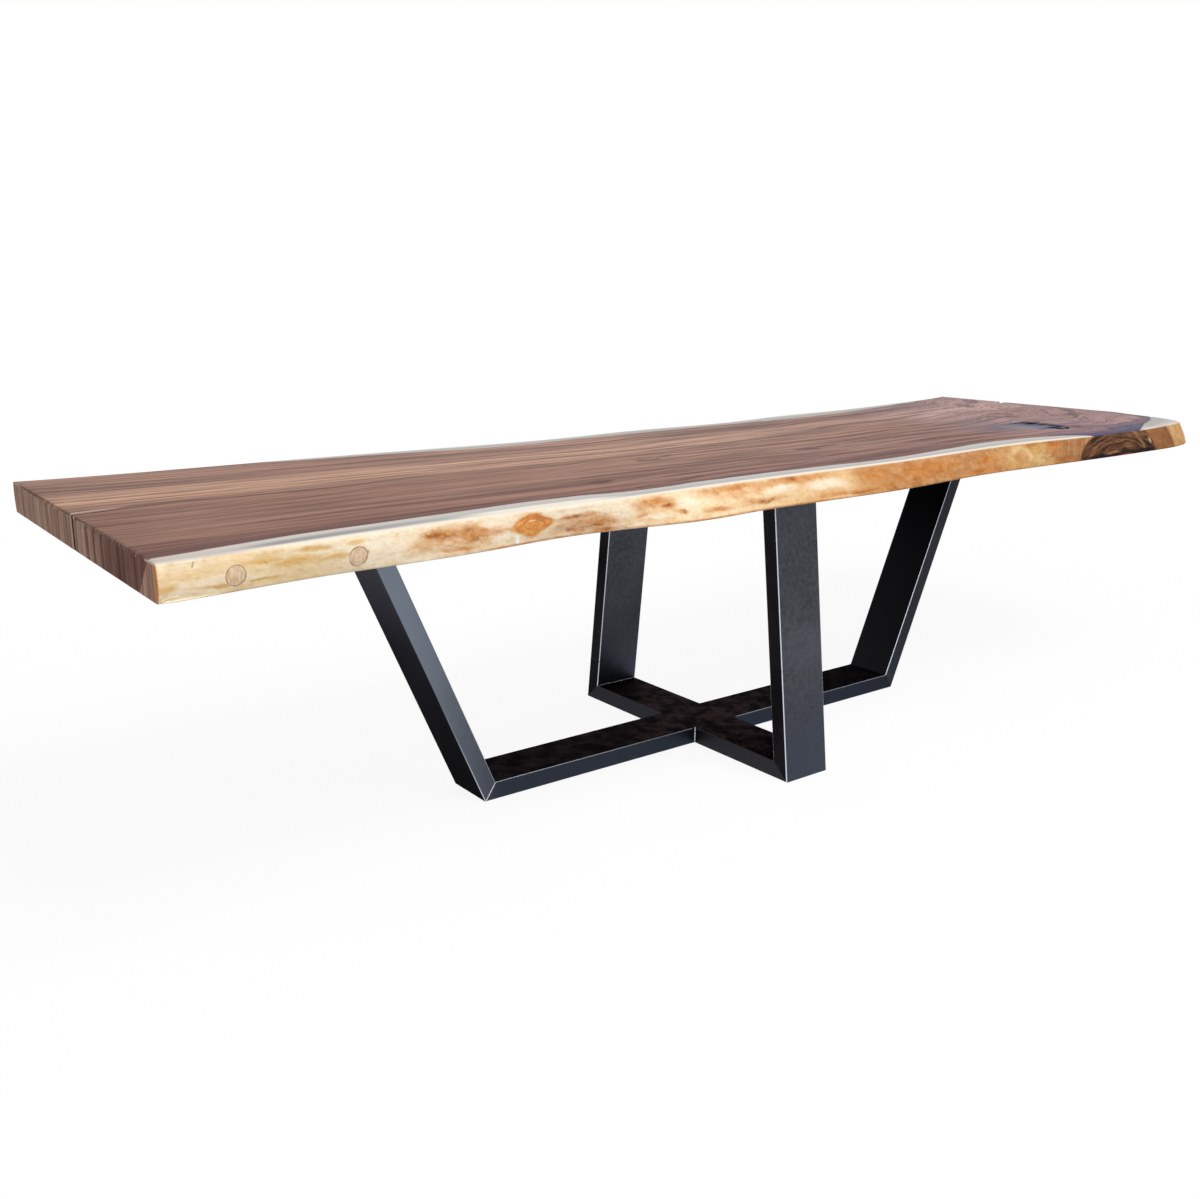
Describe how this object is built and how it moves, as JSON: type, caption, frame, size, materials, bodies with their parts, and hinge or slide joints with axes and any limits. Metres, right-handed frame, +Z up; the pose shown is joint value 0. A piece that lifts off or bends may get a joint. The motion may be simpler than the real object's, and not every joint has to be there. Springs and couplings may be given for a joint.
{
  "type": "live edge dining table",
  "caption": "Long dining table: thick live-edge hardwood board bolted to a welded black steel base with a plus-shaped floor cross and mitred slanting legs.",
  "frame": {"origin": "on the floor, at the centre of the base's cross", "axes": "+Z up, +X along the board towards its wide end, +Y towards the back"},
  "size_m": [3.3853, 1.2184, 0.77],
  "materials": {
    "board_wood": "oiled, satin",
    "plug_wood": "oiled, satin",
    "knot_resin": "polished black resin",
    "blackened_steel": "black satin, rubbed at the edges",
    "zinc_steel": "zinc plated"
  },
  "bodies": {
    "root": {"slab": "board_wood", "knot_resin_fill": "knot_resin", "edge_plugs_front": "plug_wood", "edge_plugs_back": "plug_wood", "tie_rods": "zinc_steel", "tie_rod_washers": "zinc_steel", "tie_rod_nuts": "zinc_steel", "long_floor_bar": "blackened_steel", "cross_floor_bar_front": "blackened_steel", "cross_floor_bar_back": "blackened_steel", "leg_left": "blackened_steel", "leg_right": "blackened_steel", "leg_front": "blackened_steel", "leg_back": "blackened_steel", "top_plate_left": "blackened_steel", "top_plate_right": "blackened_steel", "top_plate_front": "blackened_steel", "top_plate_back": "blackened_steel", "top_bolts": "zinc_steel", "top_washers": "zinc_steel", "threaded_inserts": "zinc_steel"}
  },
  "joints": []
}
